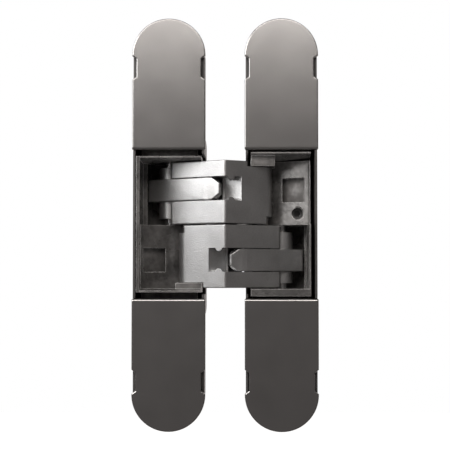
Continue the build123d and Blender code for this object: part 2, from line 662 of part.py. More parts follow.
def make_side_adjuster():
    """Side adjuster: socket screw in the sloping floor, with its eccentric end in the housing's back."""
    front = slope_floor(ADJUSTER_REACH) + ADJUSTER_SINK
    screw = level(ADJUSTER_REACH, ADJUSTER_HEIGHT, ADJUSTER_RADIUS, front, CARRIAGE_BACK)
    socket = RegularPolygon(ADJUSTER_HEX / 2, HEX_SIDES, major_radius=False)
    screw -= slab(Pos(ADJUSTER_REACH, ADJUSTER_HEIGHT) * socket, front, front + ADJUSTER_SINK)
    tip = CARRIAGE_BACK + ECCENTRIC_LENGTH
    tip_height = ADJUSTER_HEIGHT + ECCENTRIC_OFFSET
    return screw + level(ADJUSTER_REACH, tip_height, ECCENTRIC_RADIUS, CARRIAGE_BACK, tip)


def make_frame_housing():
    """Housing of the frame body, with the slot for the side adjuster's eccentric end."""
    half_width = ECCENTRIC_RADIUS + SIDE_PLAY
    half_height = half_width + ECCENTRIC_OFFSET
    slot = Pos(ADJUSTER_REACH, ADJUSTER_HEIGHT) * Rectangle(2 * half_width, 2 * half_height)
    return make_housing() - slab(slot, CARRIAGE_BACK, BODY_DEPTH)


knuckle_bottom = LUG_TOP + SIDE_PLAY
knuckle_top = LUG_BOTTOM - SIDE_PLAY
cap = make_cap()
link = make_link()
lower_cap = Pos(2 * BODY_CENTRE, 0, 0) * half_round(cap)
root_pin = upright(ROOT_PIN, ROOT_PIN_RADIUS, 0, FRAME_CARRIAGE_HALF)
short_root_pin = upright(ROOT_PIN, ROOT_PIN_RADIUS, 0, DOOR_CARRIAGE_HALF)
link_pin = upright(LINK_PIN, LINK_PIN_RADIUS, -FRAME_CARRIAGE_HALF, LINK_PIN_GRIP)
short_link_pin = upright(LINK_PIN, LINK_PIN_RADIUS, -DOOR_CARRIAGE_HALF, LINK_PIN_GRIP)
fork_pin = upright(mirrored(NOSE_PIN), NOSE_PIN_RADIUS, ARM_BOTTOM, ARM_TOP)
root_bushes = make_bushes(ROOT_PIN, ROOT_PIN_RADIUS, knuckle_bottom, knuckle_top)
hub_bushes = make_bushes(LINK_PIN, LINK_PIN_RADIUS, BOSS_BOTTOM, BOSS_TOP)
centre_bushes = make_bushes(CENTRE_PIN, CENTRE_PIN_RADIUS, ARM_BOTTOM, ARM_TOP)
washer_half = WASHER_THICKNESS / 2
washer_ring = disc(CENTRE_PIN, CENTRE_RADIUS - RUNNING) - disc(CENTRE_PIN, CENTRE_PIN_RADIUS + RUNNING)

nodes = {
    "frame_housing": make_frame_housing(),
    "door_housing": half_round(make_housing()),
    "frame_carriage": make_frame_carriage(),
    "door_carriage": make_door_carriage(),
    "frame_cap_upper": cap,
    "frame_cap_lower": lower_cap,
    "door_cap_lower": half_round(cap),
    "door_cap_upper": half_round(lower_cap),
    "upper_arm": make_upper_arm(),
    "lower_arm": make_lower_arm(),
    "upper_link": mirror(link, Plane.YZ),
    "lower_link": mirror(link, Plane.XY),
    "centre_pin": upright(CENTRE_PIN, CENTRE_PIN_RADIUS, -ARM_TOP, ARM_TOP),
    "centre_washer": layer(washer_ring, -washer_half, washer_half),
    "centre_bushes": half_round(centre_bushes),
    "upper_arm_pin": root_pin,
    "lower_arm_pin": half_round(short_root_pin),
    "lower_link_pin": link_pin,
    "upper_link_pin": half_round(short_link_pin),
    "upper_nose_pin": fork_pin,
    "lower_nose_pin": half_round(fork_pin),
    "upper_arm_bushes": root_bushes,
    "lower_arm_bushes": half_round(root_bushes),
    "upper_link_bushes": mirror(hub_bushes, Plane.YZ),
    "lower_link_bushes": mirror(hub_bushes, Plane.XY),
    "frame_clamp_screws": make_clamp_screws(),
    "door_clamp_screws": half_round(make_clamp_screws()),
    "frame_clamp_plates": make_clamp_plates(),
    "door_clamp_plates": half_round(make_clamp_plates()),
    "side_adjuster": make_side_adjuster(),
}

# The origin goes to the middle of the frame housing's screw pattern, where its ends seat on the timber
seat = Pos(-BODY_CENTRE, -FLANGE_BACK, 0)
os.makedirs("parts", exist_ok=True)
for name, solid in nodes.items():
    export_step(seat * solid, f"parts/{name}.step")
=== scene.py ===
"""Dress the concealed door hinge: castings, caps, link noses, pins, screw threads, studio and camera."""

from __future__ import annotations

import json
import logging
import math
from dataclasses import dataclass
from enum import Enum

import bmesh
import bpy
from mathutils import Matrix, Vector
from mathutils.kdtree import KDTree

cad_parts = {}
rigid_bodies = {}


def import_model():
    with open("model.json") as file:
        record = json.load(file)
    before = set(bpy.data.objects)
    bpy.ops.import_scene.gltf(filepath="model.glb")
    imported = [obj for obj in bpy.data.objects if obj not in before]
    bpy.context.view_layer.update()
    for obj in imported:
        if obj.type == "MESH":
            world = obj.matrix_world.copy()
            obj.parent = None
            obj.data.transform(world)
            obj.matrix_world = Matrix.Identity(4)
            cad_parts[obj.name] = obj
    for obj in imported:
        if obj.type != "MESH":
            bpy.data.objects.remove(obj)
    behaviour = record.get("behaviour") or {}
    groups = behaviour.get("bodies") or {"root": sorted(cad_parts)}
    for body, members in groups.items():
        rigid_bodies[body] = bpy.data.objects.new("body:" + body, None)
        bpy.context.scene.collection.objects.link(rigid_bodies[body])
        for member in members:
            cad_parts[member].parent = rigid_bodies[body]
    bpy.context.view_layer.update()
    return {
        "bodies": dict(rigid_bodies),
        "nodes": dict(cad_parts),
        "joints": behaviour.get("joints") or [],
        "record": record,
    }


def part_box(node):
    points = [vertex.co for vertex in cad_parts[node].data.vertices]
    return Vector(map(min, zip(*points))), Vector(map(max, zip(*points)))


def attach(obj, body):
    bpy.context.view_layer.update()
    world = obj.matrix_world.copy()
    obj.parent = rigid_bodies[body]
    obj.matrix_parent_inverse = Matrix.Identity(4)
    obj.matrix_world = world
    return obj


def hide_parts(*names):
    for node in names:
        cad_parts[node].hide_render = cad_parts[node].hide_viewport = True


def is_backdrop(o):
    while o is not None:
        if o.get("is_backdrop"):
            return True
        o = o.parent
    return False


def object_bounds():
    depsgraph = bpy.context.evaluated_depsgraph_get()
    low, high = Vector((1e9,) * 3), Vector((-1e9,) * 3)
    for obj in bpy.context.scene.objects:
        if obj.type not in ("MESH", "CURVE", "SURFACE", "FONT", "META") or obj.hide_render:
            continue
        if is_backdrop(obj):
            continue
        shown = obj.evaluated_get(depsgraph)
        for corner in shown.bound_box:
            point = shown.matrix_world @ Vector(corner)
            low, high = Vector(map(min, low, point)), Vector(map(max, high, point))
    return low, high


LOG = logging.getLogger("hinge")
MM = 0.001

Colour = tuple[float, float, float]
Span = tuple[float, float]


class Grain(Enum):
    """How the surface of a finish was worked."""

    BLASTED = "blasted"
    CAST = "cast"
    LACQUERED = "lacquered"
    GROUND = "ground"


class Tool(Enum):
    """What a solid does to the piece that it meets."""

    CUT = "DIFFERENCE"
    ADD = "UNION"


# Patterns of the finishes
UNIT_SPAN = (0.0, 1.0)
PATCH_WIDTH = 14.0 * MM
SMEAR_WIDTH = 9.0 * MM
PATCH_DETAIL = 3.0
SPECKLE_DETAIL = 1.0
SPECKLE_SHARE = 0.35
COLOUR_SPAN = (0.45, 0.85)
GRAIN_DETAIL = {Grain.BLASTED: 2.0, Grain.CAST: 4.0, Grain.LACQUERED: 1.0, Grain.GROUND: 2.0}
GRIND_STRETCH = 12.0

# Edges painted bright, as rubbed metal and as a painted edge highlight, and rough recesses
BEVEL_SAMPLES = 4
EDGE_SPAN = (0.85, 0.995)
# Bright edge colour: rubbed bare metal, and a painted highlight along the edges
BARE_METAL_AND_HIGHLIGHT = (0.85, 0.84, 0.83)
RECESS_SAMPLES = 8
RECESS_REACH = 5.0 * MM
RECESS_SPAN = (0.78, 0.95)

# Measuring and shading the link noses
FRONT_LEAST = -0.5
FLATNESS = 0.002 * MM
MERGE_DISTANCE = 0.001 * MM
RIM_SEGMENTS = 2
RIM_PROFILE = 0.5
CORNER_OVERRUN = 0.5
SHARP_ANGLE = 5.0
SAME_CORNER = 0.003 * MM
SAME_FACING = 0.99

# Screw threads
THREAD_RESOLUTION = 24
RIDGE_SIDES = 6

# Studio colours, and where the bright wall behind the hinge starts and is full
WHITE = (1.0, 1.0, 1.0)
WARM_WHITE = (1.0, 0.95, 0.91)
ROOM_TINT = (1.0, 0.93, 0.9)
FLOOR_TINT = (0.9, 0.9, 0.9)
WALL_SPAN = (0.45, 0.95)


def opaque(colour: Colour) -> tuple[float, float, float, float]:
    """Add full opacity to a colour."""
    return (*colour, 1.0)


def map_range(
    tree: bpy.types.NodeTree, value: bpy.types.NodeSocket, given: Span, wanted: Span, curve: str = "LINEAR"
) -> bpy.types.NodeSocket:
    """Add a node that turns one range of values into another.

    Args:
        tree: Node tree that gets the node.
        value: Socket of the value.
        given: Ends of the range that is read.
        wanted: Ends of the range that comes out.
        curve: How the node goes from one end to the other.

    Returns:
        The turned value.
    """
    node = tree.nodes.new("ShaderNodeMapRange")
    node.interpolation_type = curve
    node.inputs["From Min"].default_value, node.inputs["From Max"].default_value = given
    node.inputs["To Min"].default_value, node.inputs["To Max"].default_value = wanted
    tree.links.new(value, node.inputs["Value"])
    return node.outputs["Result"]


@dataclass(frozen=True)
class Finish:
    """One metal finish, with its tone, gloss and surface grain.

    Args:
        name: Name of the material.
        slot: Material slot of the record that the finish belongs to. Not used.
        tint: Reflected colour of the metal.
        shade: Colour of the darker patches in it.
        roughness: Lowest and highest roughness.
        metallic: Share of metal in the shader.
        grain: How the surface was worked.
        grain_size: Width of one grain, in metres.
        relief: Height of the grain, in metres.
        edge: Radius to which edges catch the light, in metres.
        rubbed_and_highlit: How far the edges are painted bright, as rubbed metal and as a painted edge
            highlight, from 0 to 1.
        as_cast: How much rougher the recesses are, where no blasting reaches.
    """

    name: str
    slot: str
    tint: Colour
    shade: Colour
    roughness: Span
    metallic: float
    grain: Grain
    grain_size: float
    relief: float
    edge: float = 0.25 * MM
    rubbed_and_highlit: float = 0.0
    as_cast: float = 0.0

    def material(self) -> bpy.types.Material:
        """Build the node material of this finish.

        Returns:
            The new material.
        """
        material = bpy.data.materials.new(self.name)
        material.use_nodes = True
        tree = material.node_tree
        tree.nodes.clear()
        output = tree.nodes.new("ShaderNodeOutputMaterial")
        shader = tree.nodes.new("ShaderNodeBsdfPrincipled")
        shader.inputs["Metallic"].default_value = self.metallic
        tree.links.new(shader.outputs["BSDF"], output.inputs["Surface"])
        place = tree.nodes.new("ShaderNodeTexCoord").outputs["Object"]
        rounded = self._rounded(tree)
        self._colour(tree, place, rounded, shader)
        self._gloss(tree, place, shader)
        self._surface(tree, place, rounded, shader)
        return material

    def _rounded(self, tree: bpy.types.NodeTree) -> bpy.types.NodeSocket:
        """Add the normal of the surface with its edges rounded.

        Args:
            tree: Node tree of the material.

        Returns:
            The rounded normal.
        """
        bevel = tree.nodes.new("ShaderNodeBevel")
        bevel.samples = BEVEL_SAMPLES
        bevel.inputs["Radius"].default_value = self.edge
        return bevel.outputs["Normal"]

    def _noise(
        self, tree: bpy.types.NodeTree, place: bpy.types.NodeSocket, width: float, detail: float
    ) -> bpy.types.NodeSocket:
        """Add a noise of a given feature width.

        Args:
            tree: Node tree of the material.
            place: Coordinates that the noise reads.
            width: Width of one feature, in metres.
            detail: Number of finer layers.

        Returns:
            The noise's value socket.
        """
        noise = tree.nodes.new("ShaderNodeTexNoise")
        noise.inputs["Scale"].default_value = 1.0 / width
        noise.inputs["Detail"].default_value = detail
        tree.links.new(place, noise.inputs["Vector"])
        return noise.outputs["Fac"]

    def _colour(
        self,
        tree: bpy.types.NodeTree,
        place: bpy.types.NodeSocket,
        rounded: bpy.types.NodeSocket,
        shader: bpy.types.Node,
    ) -> None:
        """Mix the tint and the shade in soft patches with fine speckle, and paint the edges bright, as
        rubbed metal and as a painted edge highlight.

        Args:
            tree: Node tree of the material.
            place: Coordinates that the patches read.
            rounded: Normal with the edges rounded.
            shader: Shader that takes the colour.
        """
        share = tree.nodes.new("ShaderNodeMath")
        share.operation = "MULTIPLY_ADD"
        tree.links.new(self._noise(tree, place, self.grain_size, SPECKLE_DETAIL), share.inputs[0])
        share.inputs[1].default_value = SPECKLE_SHARE
        tree.links.new(self._noise(tree, place, PATCH_WIDTH, PATCH_DETAIL), share.inputs[2])
        ramp = tree.nodes.new("ShaderNodeValToRGB")
        for stop, position, colour in zip(ramp.color_ramp.elements, COLOUR_SPAN, (self.shade, self.tint)):
            stop.position = position
            stop.color = opaque(colour)
        tree.links.new(share.outputs["Value"], ramp.inputs["Fac"])
        # Edges painted bright: rubbed metal and a painted edge highlight
        wear_highlight_mix = tree.nodes.new("ShaderNodeMix")
        wear_highlight_mix.data_type = "RGBA"
        tree.links.new(self._edge_wear_and_highlight(tree, rounded), wear_highlight_mix.inputs["Factor"])
        tree.links.new(ramp.outputs["Color"], wear_highlight_mix.inputs["A"])
        wear_highlight_mix.inputs["B"].default_value = opaque(BARE_METAL_AND_HIGHLIGHT)
        tree.links.new(wear_highlight_mix.outputs["Result"], shader.inputs["Base Color"])

    def _edge_wear_and_highlight(self, tree: bpy.types.NodeTree, rounded: bpy.types.NodeSocket) -> bpy.types.NodeSocket:
        """Find the edges, where the rounded normal leaves the flat one, to paint them bright as rubbed
        metal and as an edge highlight.

        Args:
            tree: Node tree of the material.
            rounded: Normal with the edges rounded.

        Returns:
            The share of bright edge colour, painted as rubbed bare metal and as an edge highlight.
        """
        flat = tree.nodes.new("ShaderNodeNewGeometry").outputs["Normal"]
        match = tree.nodes.new("ShaderNodeVectorMath")
        match.operation = "DOT_PRODUCT"
        tree.links.new(flat, match.inputs[0])
        tree.links.new(rounded, match.inputs[1])
        return map_range(tree, match.outputs["Value"], EDGE_SPAN, (self.rubbed_and_highlit, 0.0))

    def _gloss(self, tree: bpy.types.NodeTree, place: bpy.types.NodeSocket, shader: bpy.types.Node) -> None:
        """Vary the roughness a little over the surface, and leave recesses rough where the finish says so.

        Args:
            tree: Node tree of the material.
            place: Coordinates that the smears read.
            shader: Shader that takes the roughness.
        """
        smears = self._noise(tree, place, SMEAR_WIDTH, PATCH_DETAIL)
        rough = map_range(tree, smears, UNIT_SPAN, self.roughness)
        if self.as_cast > 0.0:
            both = tree.nodes.new("ShaderNodeMath")
            both.operation = "ADD"
            tree.links.new(rough, both.inputs[0])
            tree.links.new(self._recess(tree), both.inputs[1])
            rough = both.outputs["Value"]
        tree.links.new(rough, shader.inputs["Roughness"])

    def _recess(self, tree: bpy.types.NodeTree) -> bpy.types.NodeSocket:
        """Find the recesses, where the piece's own walls stand close around.

        Args:
            tree: Node tree of the material.

        Returns:
            The roughness that the recesses add.
        """
        shelter = tree.nodes.new("ShaderNodeAmbientOcclusion")
        shelter.only_local = True
        shelter.samples = RECESS_SAMPLES
        shelter.inputs["Distance"].default_value = RECESS_REACH
        return map_range(tree, shelter.outputs["AO"], RECESS_SPAN, (self.as_cast, 0.0))

    def _surface(
        self,
        tree: bpy.types.NodeTree,
        place: bpy.types.NodeSocket,
        rounded: bpy.types.NodeSocket,
        shader: bpy.types.Node,
    ) -> None:
        """Raise the grain on the surface with its rounded edges.

        Args:
            tree: Node tree of the material.
            place: Coordinates that the grain reads.
            rounded: Normal with the edges rounded.
            shader: Shader that takes the normal.
        """
        bump = tree.nodes.new("ShaderNodeBump")
        bump.inputs["Strength"].default_value = 1.0
        bump.inputs["Distance"].default_value = self.relief
        tree.links.new(self._height(tree, place), bump.inputs["Height"])
        tree.links.new(rounded, bump.inputs["Normal"])
        tree.links.new(bump.outputs["Normal"], shader.inputs["Normal"])

    def _height(self, tree: bpy.types.NodeTree, place: bpy.types.NodeSocket) -> bpy.types.NodeSocket:
        """Make the grain's relief, drawn out along the piece where the surface was ground.

        Args:
            tree: Node tree of the material.
            place: Coordinates that the grain reads.

        Returns:
            The socket that holds the height.
        """
        detail = GRAIN_DETAIL[self.grain]
        if self.grain is not Grain.GROUND:
            return self._noise(tree, place, self.grain_size, detail)
        stretch = tree.nodes.new("ShaderNodeMapping")
        stretch.inputs["Scale"].default_value = (GRIND_STRETCH, GRIND_STRETCH, 1.0)
        tree.links.new(place, stretch.inputs["Vector"])
        return self._noise(tree, stretch.outputs["Vector"], self.grain_size * GRIND_STRETCH, detail)


ARM_FINISH = Finish(
    name="blasted_nickel",
    slot="arm",
    tint=(0.6, 0.6, 0.6),
    shade=(0.46, 0.46, 0.46),
    roughness=(0.35, 0.42),
    metallic=0.97,
    grain=Grain.BLASTED,
    grain_size=0.5 * MM,
    relief=0.085 * MM,
)
COVER_FINISH = Finish(
    name="gunmetal_lacquer",
    slot="cover",
    tint=(0.47, 0.462, 0.458),
    shade=(0.43, 0.422, 0.418),
    roughness=(0.24, 0.28),
    metallic=1.0,
    grain=Grain.LACQUERED,
    grain_size=0.35 * MM,
    relief=0.004 * MM,
)
CARRIAGE_FINISH = Finish(
    name="carriage_casting",
    slot="carriage",
    tint=(0.24, 0.232, 0.226),
    shade=(0.07, 0.067, 0.065),
    roughness=(0.2, 0.34),
    metallic=0.6,
    grain=Grain.CAST,
    grain_size=1.6 * MM,
    relief=0.06 * MM,
    edge=0.35 * MM,
    # Carriage edges painted bright: rubbed metal and a painted edge highlight
    rubbed_and_highlit=1.0,
    as_cast=0.5,
)
HOUSING_FINISH = Finish(
    name="housing_casting",
    slot="housing",
    tint=(0.1, 0.096, 0.093),
    shade=(0.07, 0.067, 0.065),
    roughness=(0.34, 0.46),
    metallic=0.3,
    grain=Grain.CAST,
    grain_size=0.9 * MM,
    relief=0.05 * MM,
)
PIN_FINISH = Finish(
    name="ground_pin_steel",
    slot="pin_steel",
    tint=(0.6, 0.6, 0.6),
    shade=(0.5, 0.5, 0.5),
    roughness=(0.2, 0.3),
    metallic=1.0,
    grain=Grain.GROUND,
    grain_size=0.12 * MM,
    relief=0.003 * MM,
)
BEARING_FINISH = Finish(
    name="bearing_bronze",
    slot="bearing",
    tint=(0.62, 0.42, 0.2),
    shade=(0.5, 0.33, 0.16),
    roughness=(0.3, 0.42),
    metallic=1.0,
    grain=Grain.GROUND,
    grain_size=0.15 * MM,
    relief=0.004 * MM,
)
SCREW_FINISH = Finish(
    name="blackened_screw_steel",
    slot="screw_steel",
    tint=(0.2, 0.2, 0.2),
    shade=(0.14, 0.14, 0.14),
    roughness=(0.32, 0.44),
    metallic=1.0,
    grain=Grain.GROUND,
    grain_size=0.15 * MM,
    relief=0.003 * MM,
)


def add_object(name: str, data: bpy.types.ID) -> bpy.types.Object:
    """Add an object to the scene.

    Args:
        name: Name of the object.
        data: Its mesh, light or camera.

    Returns:
        The new object.
    """
    item = bpy.data.objects.new(name, data)
    bpy.context.scene.collection.objects.link(item)
    return item


def coat(mesh: bpy.types.Mesh, material: bpy.types.Material) -> None:
    """Give a mesh one material and no other."""
    mesh.materials.clear()
    mesh.materials.append(material)


def settle(piece: bpy.types.Object) -> None:
    """Keep what a piece's modifiers make as its plain mesh.

    Args:
        piece: The object, which loses its modifiers.
    """
    evaluated = piece.evaluated_get(bpy.context.evaluated_depsgraph_get())
    mesh = bpy.data.meshes.new_from_object(evaluated)
    before = piece.data
    piece.modifiers.clear()
    piece.data = mesh
    bpy.data.meshes.remove(before)
    mesh.name = piece.name


def run_nodes(piece: bpy.types.Object, tree: bpy.types.NodeTree, sizes: dict[str, object]) -> None:
    """Run a node tree on a piece.

    Args:
        piece: The object that holds the seed mesh.
        tree: The node tree.
        sizes: Values of the tree's inputs, by name.
    """
    modifier = piece.modifiers.new(tree.name, "NODES")
    modifier.node_group = tree
    for socket in tree.interface.items_tree:
        if socket.in_out == "INPUT" and socket.name in sizes:
            modifier[socket.identifier] = sizes[socket.name]
    settle(piece)


def combine(piece: bpy.types.Object, steps: list[tuple[Tool, bpy.types.Mesh]]) -> None:
    """Cut solids from a piece and add solids to it.

    Args:
        piece: The object that is changed.
        steps: What each solid does and its mesh, in order. The meshes are removed with their objects.
    """
    for tool, mesh in steps:
        modifier = piece.modifiers.new(mesh.name, "BOOLEAN")
        modifier.operation = tool.value
        modifier.solver = "EXACT"
        modifier.object = add_object(mesh.name, mesh)
    settle(piece)
    for _, mesh in steps:
        bpy.data.meshes.remove(mesh, do_unlink=True)


def as_mesh(body: bmesh.types.BMesh, name: str) -> bpy.types.Mesh:
    """Turn an edited body into a mesh with its faces outwards.

    Args:
        body: The edited body, which is freed.
        name: Name of the mesh.

    Returns:
        The new mesh.
    """
    bmesh.ops.recalc_face_normals(body, faces=body.faces)
    mesh = bpy.data.meshes.new(name)
    body.to_mesh(mesh)
    body.free()
    return mesh


def merged_copy(mesh: bpy.types.Mesh, name: str) -> bpy.types.Mesh:
    """Copy a mesh with its loose triangles joined.

    Args:
        mesh: Mesh of a node.
        name: Name of the copy.

    Returns:
        The closed copy.
    """
    body = bmesh.new()
    body.from_mesh(mesh)
    bmesh.ops.remove_doubles(body, verts=body.verts, dist=MERGE_DISTANCE)
    return as_mesh(body, name)


def loft(body: bmesh.types.BMesh, outlines: list[list[Vector]]) -> list[list[bmesh.types.BMVert]]:
    """Add a solid that runs through outlines, with a face at each end.

    Args:
        body: The body that gets the solid.
        outlines: Outlines of equal length, one after another.

    Returns:
        The solid's points, outline by outline.
    """
    rows = [[body.verts.new(point) for point in outline] for outline in outlines]
    for lower, upper in zip(rows, rows[1:]):
        for index, vert in enumerate(lower):
            after = (index + 1) % len(lower)
            body.faces.new((vert, lower[after], upper[after], upper[index]))
    body.faces.new(rows[0])
    body.faces.new(rows[-1])
    return rows


def smooth(mesh: bpy.types.Mesh, node: bpy.types.Mesh) -> None:
    """Shade a mesh smooth, with the node's own normals where it keeps the node's corners.

    Args:
        mesh: The mesh that is shaded.
        node: Mesh of the node it was copied from.
    """
    mesh.shade_smooth()
    mesh.set_sharp_from_angle(angle=math.radians(SHARP_ANGLE))
    corners = [(face, corner) for face in node.polygons for corner in face.loop_indices]
    places = KDTree(len(corners))
    for number, (_, corner) in enumerate(corners):
        places.insert(node.vertices[node.loops[corner].vertex_index].co, number)
    places.balance()
    normals = [corner.vector.copy() for corner in mesh.corner_normals]
    for face in mesh.polygons:
        for corner in face.loop_indices:
            place = mesh.vertices[mesh.loops[corner].vertex_index].co
            near = [corners[number] for _, number, _ in places.find_range(place, SAME_CORNER)]
            alike = max(near, key=lambda pair: pair[0].normal.dot(face.normal), default=None)
            if alike and alike[0].normal.dot(face.normal) > SAME_FACING:
                normals[corner] = node.corner_normals[alike[1]].vector.copy()
    mesh.normals_split_custom_set(normals)


@dataclass
class SubAssembly:
    """A group of frame nodes that share one finish.

    Args:
        title: What the group is called in the log.
        nodes: Nodes of the group.
        finish: Finish of all of them.
    """

    title: str
    nodes: tuple[str, ...]
    finish: Finish

    def build(self, frame: dict, materials: dict[str, bpy.types.Material]) -> None:
        """Add meshes that the frame doesn't hold: none, unless a group says otherwise."""

    def dress(self, frame: dict, materials: dict[str, bpy.types.Material]) -> None:
        """Give each node of the group its finish.

        Args:
            frame: The loaded frame.
            materials: Built materials by finish name.
        """
        for name in self.nodes:
            coat(frame["nodes"][name].data, materials[self.finish.name])
        LOG.info("%s in %s: %s", self.title, self.finish.name, ", ".join(self.nodes))


@dataclass(frozen=True)
class FrontFace:
    """The flat front of a link, with its own directions.

    Args:
        out: Direction in which the face looks.
        along: Direction along the face to the nose.
        front: Place of the face along its own direction, in metres.
        tip: Place of the round nose's tip along the face, in metres.
        low: Lowest point of the flat face, in metres.
        high: Highest point of the flat face, in metres.
    """

    out: Vector
    along: Vector
    front: float
    tip: float
    low: float
    high: float

    @classmethod
    def of(cls, mesh: bpy.types.Mesh, pin: str) -> FrontFace:
        """Measure the front of a link.

        Args:
            mesh: Mesh of the link.
            pin: Node of the pin in its nose.

        Returns:
            The measured face.
        """
        facing = [facet for facet in mesh.polygons if facet.normal.y < FRONT_LEAST]
        out = max(facing, key=lambda facet: facet.area).normal.copy()
        points = [vert.co for vert in mesh.vertices]
        front = max(point.dot(out) for point in points)
        along = Vector((0.0, 0.0, 1.0)).cross(out)
        pin_low, pin_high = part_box(pin)
        centre = sum(points, Vector()) / len(points)
        if ((pin_low + pin_high) / 2.0 - centre).dot(along) < 0.0:
            along.negate()
        heights = [point.z for point in points if front - point.dot(out) < FLATNESS]
        tip = max(point.dot(along) for point in points)
        return cls(out, along, front, tip, min(heights), max(heights))

    def point(self, along: float, depth: float, height: float) -> Vector:
        """Find a point by its place along the face, its depth behind it and its height."""
        return self.along * along + self.out * (self.front - depth) + Vector((0.0, 0.0, height))


@dataclass
class FlatNosedLinks(SubAssembly):
    """The two links, each with the flat, chamfered end that shows in the eye of its arm.

    Args:
        pins: Nose pin of each link.
        reach: How far the flat end stands beyond the round of the nose, in metres.
        length: Length of the plate that carries the flat front on to the end, in metres.
        plate_depth: Thickness of that plate, in front of the slot for the pin, in metres.
        end_length: Length of the solid end beyond that slot, in metres.
        end_depth: Depth at which the end runs back into the round of the nose, in metres.
        lip: Depth of the flat end face, in metres.
        fall: How much the flat front falls back per length, to clear the other carriage when shut.
        corner_length: Run of the end's cut corners along the link, in metres.
        corner_height: Height of the cut corners, in metres.
        edge_round: Rounding of the link's edges, in metres.
        sink: Depth of the plate below the link's own front, in metres.
        trim: Room between the link's own cut corners and the new ones, in metres.
        through: How far the cuts run out of the link, in metres.
    """

    pins: tuple[str, ...] = ()
    reach: float = 1.9 * MM
    length: float = 6.8 * MM
    plate_depth: float = 1.6 * MM
    end_length: float = 3.9 * MM
    end_depth: float = 3.2 * MM
    lip: float = 0.7 * MM
    fall: float = 0.13
    corner_length: float = 3.5 * MM
    corner_height: float = 2.4 * MM
    edge_round: float = 0.4 * MM
    sink: float = 0.01 * MM
    trim: float = 0.05 * MM
    through: float = 12.0 * MM

    def build(self, frame: dict, materials: dict[str, bpy.types.Material]) -> None:
        """Give a copy of each link its flat end.

        Args:
            frame: The loaded frame.
            materials: Built materials by finish name.
        """
        for node, pin in zip(self.nodes, self.pins):
            link = frame["nodes"][node].data
            face = FrontFace.of(link, pin)
            name = f"{node}_flat_nose"
            piece = add_object(name, merged_copy(link, name))
            cuts = [self._corner(face, side) for side in (1.0, -1.0)] + [self._front(face)]
            combine(piece, [(Tool.CUT, cut) for cut in cuts] + [(Tool.ADD, self._plate(face))])
            smooth(piece.data, link)
            coat(piece.data, materials[self.finish.name])
            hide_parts(node)
            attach(piece, node)
            LOG.info("%s: %d faces", piece.name, len(piece.data.polygons))

    def _plate(self, face: FrontFace) -> bpy.types.Mesh:
        """Build the plate with the flat end, as an L seen from above.

        Args:
            face: Front face of the link.

        Returns:
            The new mesh.
        """
        end = face.tip + self.reach
        start = end - self.length
        step = end - self.end_length
        low = face.low - self.edge_round
        high = face.high + self.edge_round
        levels = (
            (low, self.corner_length),
            (low + self.corner_height, 0.0),
            (high - self.corner_height, 0.0),
            (high, self.corner_length),
        )
        outlines = []
        for height, cut in levels:
            fall = self.fall * (self.length - cut)
            outline = (
                (start, self.sink),
                (end - cut, self.sink + fall),
                (end - cut, self.lip + fall),
                (max(face.tip - cut, step + self.edge_round), self.end_depth),
                (step, self.end_depth),
                (step, self.plate_depth),
                (start, self.plate_depth),
            )
            outlines.append([face.point(along, depth, height) for along, depth in outline])
        body = bmesh.new()
        rows = loft(body, outlines)
        rim = [rows[0][0], *(row[1] for row in rows), rows[-1][0]]
        edges = [body.edges.get(pair) for pair in zip(rim, rim[1:])]
        bmesh.ops.bevel(
            body,
            geom=edges,
            offset=self.edge_round,
            segments=RIM_SEGMENTS,
            profile=RIM_PROFILE,
            affect="EDGES",
        )
        return as_mesh(body, "flat_nose_plate")

    def _front(self, face: FrontFace) -> bpy.types.Mesh:
        """Build the wedge that lets the front of the nose fall back to the plate.

        Args:
            face: Front face of the link.

        Returns:
            The new mesh.
        """
        start = face.tip + self.reach - self.length
        end = start + self.through
        shallow = self.sink / 2.0
        deep = shallow + self.fall * self.through
        outline = ((start, shallow), (end, deep), (end, -self.through), (start, -self.through))
        heights = (face.low - self.through, face.high + self.through)
        body = bmesh.new()
        loft(body, [[face.point(along, depth, height) for along, depth in outline] for height in heights])
        return as_mesh(body, "front_cut")

    def _corner(self, face: FrontFace, side: float) -> bpy.types.Mesh:
        """Build the wedge that cuts one corner off the round nose.

        Args:
            face: Front face of the link.
            side: 1 for the upper corner, -1 for the lower one.

        Returns:
            The new mesh.
        """
        end = face.tip + self.reach - self.trim
        edge = face.high + self.edge_round if side > 0.0 else face.low - self.edge_round
        inner = end - (1.0 + CORNER_OVERRUN) * self.corner_length
        outer = end + CORNER_OVERRUN * self.corner_length
        near = edge + side * CORNER_OVERRUN * self.corner_height
        far = edge - side * (1.0 + CORNER_OVERRUN) * self.corner_height
        outline = ((inner, near), (outer, far), (outer, near))
        depths = (-self.through, self.through)
        body = bmesh.new()
        loft(body, [[face.point(along, depth, height) for along, height in outline] for depth in depths])
        return as_mesh(body, "corner_cut")


